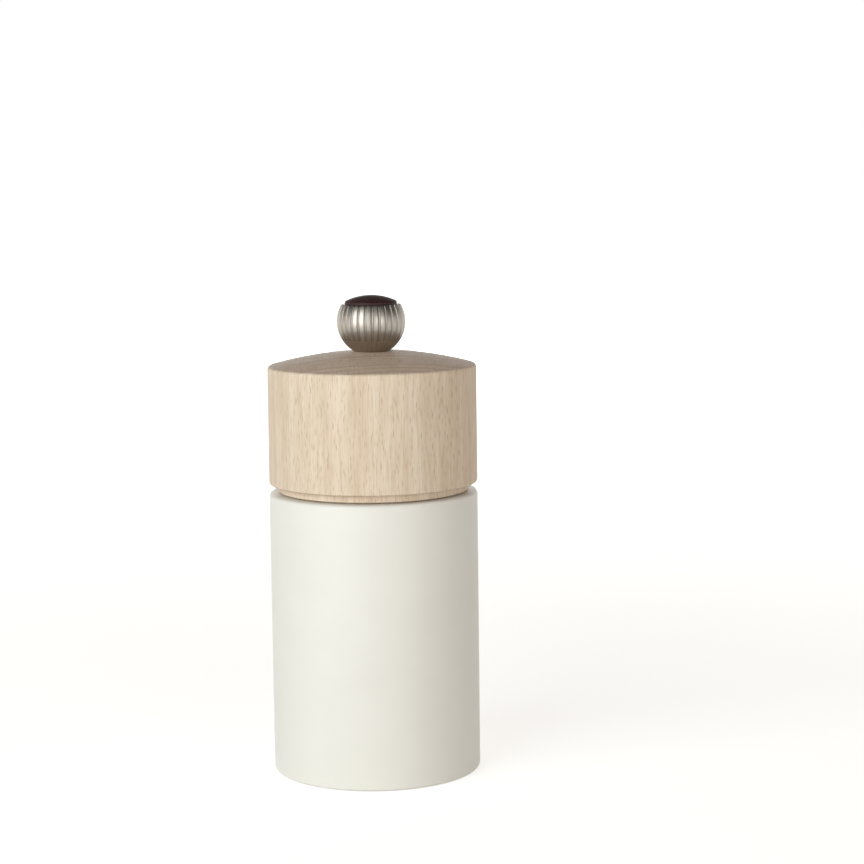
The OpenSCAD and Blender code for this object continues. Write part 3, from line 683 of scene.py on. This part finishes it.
# Scratches 0.2 mm wide and 6 mm long, slanting across the cap
hair = add(tree, "ShaderNodeMapping", None,
           {"Vector": place.outputs["Object"], "Rotation": (0, 0, 0.6), "Scale": per_metre(0.2, 6, 6)})
line = add(tree, "ShaderNodeTexNoise", None, {"Vector": hair.outputs[0], "Scale": 1.0, "Detail": 2.0})
haze = add(tree, "ShaderNodeMapRange", None, {"Value": line.outputs["Fac"], "To Min": 0.46, "To Max": 0.60})
tone = add(tree, "ShaderNodeValToRGB", None, {"Fac": line.outputs["Fac"]})
tone.color_ramp.elements[0].color = linear("#2c1413")
tone.color_ramp.elements[1].color = linear("#3e2221")
shader = add(tree, "ShaderNodeBsdfPrincipled", None,
             {"Base Color": tone.outputs["Color"], "Roughness": haze.outputs["Result"], "IOR": 1.35})
add(tree, "ShaderNodeOutputMaterial", None, {"Surface": shader.outputs[0]})

CAP_EDGE_H, CAP_STEPS = 0.7, 14
cap_low, cap_high = heights("knob_cap")
cap_rise = cap_high - knob_high - CAP_EDGE_H
cap_dome_r = (CAP_R ** 2 + cap_rise ** 2) / (2 * cap_rise)
bm = bmesh.new()
rim = point(bm, CAP_R, knob_high + CAP_EDGE_H)
apex = arc(bm, rim, cap_high - cap_dome_r, math.degrees(math.asin(CAP_R / cap_dome_r)), CAP_STEPS)
chain(bm, [apex, point(bm, 0, cap_low), point(bm, CAP_R, cap_low), rim])
round_corners(bm, [rim], radius=0.25, segments=4)
spin_round(bm, steps=96)
make_piece(bm, "domed_cap", [plastic], "knob", "knob_cap")

# %% [markdown]
# ## The shaft
# The shaft is one bar worked in three ways: a round journal with a groove for its clip, a long square
# that the head turns, and a thread for the knob. The journal is turned, so it is spun, and the square is
# a cube drawn out along Z, with its edges bevelled. The parts lap into each other by a little.

# %% Journal and square
SHAFT_HALF, JOURNAL_R, CLIP_GROOVE_R, THREAD_L, LAP = 3.0, 2.5, 2.0, 21.4, 0.2
shaft_low, shaft_high = heights("shaft")
clip_low, clip_high = heights("retaining_clip")
square_low = heights("grinding_cone")[0]
square_high = shaft_high - THREAD_L
bm = bmesh.new()
journal = [point(bm, r, z) for r, z in (
    (0, shaft_low), (JOURNAL_R, shaft_low), (JOURNAL_R, clip_low), (CLIP_GROOVE_R, clip_low),
    (CLIP_GROOVE_R, clip_high), (JOURNAL_R, clip_high),
    (JOURNAL_R, square_low + LAP), (0, square_low + LAP))]
chain(bm, journal)
round_corners(bm, journal[1:2], radius=0.5, segments=3)
spin_round(bm, steps=64)

bar = bmesh.ops.create_cube(bm, size=2 * SHAFT_HALF * MM)["verts"]
bmesh.ops.scale(bm, verts=bar, vec=(1, 1, (square_high - square_low) / (2 * SHAFT_HALF)))
bmesh.ops.translate(bm, verts=bar, vec=(0, 0, (square_low + square_high) / 2 * MM))
bmesh.ops.bevel(bm, geom=list({e for v in bar for e in v.link_edges}), offset=0.3 * MM, offset_type="OFFSET",
                affect="EDGES", segments=2, profile=0.5, material=-1)
print("square bar from", round(square_low, 2), "to", round(square_high, 2), "mm")

# %% [markdown]
# ## The thread
# The thread is a real one, because it shows when the head is lifted. The outline of one tooth is screwed
# up the axis, which is a spin with a rise. A few spare turns at both ends are then cut off flat, and the
# ends are closed. A chamfer at the top starts the knob on it.

# %% Thread
THREAD_R, THREAD_ROOT_R, THREAD_PITCH, THREAD_STEPS, SPARE_TURNS = 2.5, 2.05, 0.8, 36, 2
screw = bmesh.new()
start = square_high - SPARE_TURNS * THREAD_PITCH
# A tooth's root, flank, crest, flank and root, by their share of the pitch
tooth = [point(screw, r, start + share * THREAD_PITCH) for r, share in (
    (THREAD_ROOT_R, 0), (THREAD_ROOT_R, 0.12), (THREAD_R, 0.44), (THREAD_R, 0.56),
    (THREAD_ROOT_R, 0.88), (THREAD_ROOT_R, 1))]
chain(screw, tooth)
turns = math.ceil(THREAD_L / THREAD_PITCH) + 2 * SPARE_TURNS
bmesh.ops.spin(screw, geom=screw.verts[:] + screw.edges[:], cent=(0, 0, 0), axis=(0, 0, 1),
               dvec=(0, 0, THREAD_PITCH * MM / THREAD_STEPS),
               angle=2 * math.pi * turns, steps=THREAD_STEPS * turns)
bmesh.ops.remove_doubles(screw, verts=screw.verts[:], dist=WELD)
for z, lower_end in ((square_high - LAP, True), (shaft_high, False)):
    cut = bmesh.ops.bisect_plane(screw, geom=screw.verts[:] + screw.edges[:] + screw.faces[:], dist=1e-7,
                                 plane_co=(0, 0, z * MM), plane_no=(0, 0, 1),
                                 clear_inner=lower_end, clear_outer=not lower_end)
    cut_edges = [part for part in cut["geom_cut"] if isinstance(part, bmesh.types.BMEdge)]
    bmesh.ops.contextual_create(screw, geom=cut_edges)
for vert in screw.verts:
    reach = math.hypot(vert.co.x, vert.co.y)
    allowed = THREAD_ROOT_R * MM + max(shaft_high * MM - vert.co.z, 0)
    if reach > allowed:
        vert.co.x *= allowed / reach
        vert.co.y *= allowed / reach
thread_mesh = bpy.data.meshes.new("thread")
screw.to_mesh(thread_mesh)
screw.free()
bm.from_mesh(thread_mesh)
bpy.data.meshes.remove(thread_mesh)
make_piece(bm, "square_shaft", [bar_steel], "spindle", "shaft", sharp=30)

# %% [markdown]
# ## The spring
# The spring is round wire, so a small circle is screwed up the axis. In the mill its top stays with the
# washer and its foot with the cone; here it is built where it stands, on no body.

# %% Spring
SPRING_R, SPRING_TURNS, SPRING_STEPS = 5.6, 4.5, 40
WIRE_R, WIRE_SIDES = 0.5, 14
spring_low, spring_high = heights("spring")
steps = round(SPRING_TURNS * SPRING_STEPS)
rise = spring_high - spring_low - 2 * WIRE_R
bm = bmesh.new()
section = bmesh.ops.create_circle(bm, segments=WIRE_SIDES, radius=WIRE_R * MM)["verts"]
bmesh.ops.rotate(bm, verts=section, cent=(0, 0, 0), matrix=Matrix.Rotation(math.pi / 2, 3, "X"))
bmesh.ops.translate(bm, verts=section, vec=(SPRING_R * MM, 0, (spring_low + WIRE_R) * MM))
bmesh.ops.spin(bm, geom=bm.verts[:] + bm.edges[:], cent=(0, 0, 0), axis=(0, 0, 1),
               dvec=(0, 0, rise * MM / steps), angle=2 * math.pi * SPRING_TURNS, steps=steps)
bmesh.ops.holes_fill(bm, edges=[e for e in bm.edges if e.is_boundary], sides=WIRE_SIDES)
spring_piece = make_piece(bm, "coil_spring", [wire_steel], None, "spring")
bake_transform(spring_piece)

# %% [markdown]
# ## The grinder
# The solids of the ring and the cone already have their real slanted teeth. Each mesh is copied and its
# loose triangles are merged, and it is only smoothed, because ground teeth have crisp edges.

# %% Grinder
def copy_of(node):
    bm = bmesh.new()
    bm.from_mesh(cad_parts[node].data)
    bmesh.ops.remove_doubles(bm, verts=bm.verts[:], dist=WELD)
    return bm


for node, name, body in (
        ("grinding_ring", "toothed_ring", "body"),
        ("grinding_cone", "toothed_cone", "spindle")):
    make_piece(copy_of(node), name, [grinder_steel], body, node, sharp=14)

# %% [markdown]
# ## Sheet metal and fasteners
# These solids have their real bends, holes and slots too. After merging, triangles that lie in one plane
# are joined, and sharp edges are bevelled by the small radius that deburring leaves. Weighted normals
# keep the large faces flat to the eye, and put all the turn into the small bevels.

# %% Sheet metal and fasteners
SAME_PLANE, SHARP_EDGE = math.radians(1), math.radians(40)


def deburred(node, width):
    bm = copy_of(node)
    bmesh.ops.dissolve_limit(bm, angle_limit=SAME_PLANE, verts=bm.verts[:], edges=bm.edges[:])
    edges = [e for e in bm.edges if e.is_manifold and e.calc_face_angle() > SHARP_EDGE]
    bmesh.ops.bevel(bm, geom=edges, offset=width * MM, offset_type="OFFSET", affect="EDGES", segments=2,
                    profile=0.5, material=-1, clamp_overlap=True)
    return bm


for node, name, body, material, slot, width in (
        ("bridge", "bent_bridge", "body", sheet_steel, "sheet_steel", 0.12),
        ("strap", "foot_strap", "body", sheet_steel, "sheet_steel", 0.15),
        ("drive_plate", "drive_disc", "head", sheet_steel, "sheet_steel", 0.15),
        ("spring_washer", "upper_washer", "turning_set", sheet_steel, "sheet_steel", 0.12),
        ("cone_washer", "lower_washer", "spindle", sheet_steel, "sheet_steel", 0.12),
        ("retaining_clip", "open_clip", "spindle", wire_steel, "spring_steel", 0.08),
        ("bridge_rivets", "rivet_pair", "body", plated_steel, "fastener_steel", 0.15),
        ("strap_screws", "strap_screw_pair", "body", plated_steel, "fastener_steel", 0.1),
        ("drive_plate_screws", "plate_screw_set", "head", plated_steel, "fastener_steel", 0.1)):
    piece = make_piece(deburred(node, width), name, [material], body, node)
    piece.modifiers.new("flat_faces", "WEIGHTED_NORMAL").keep_sharp = True
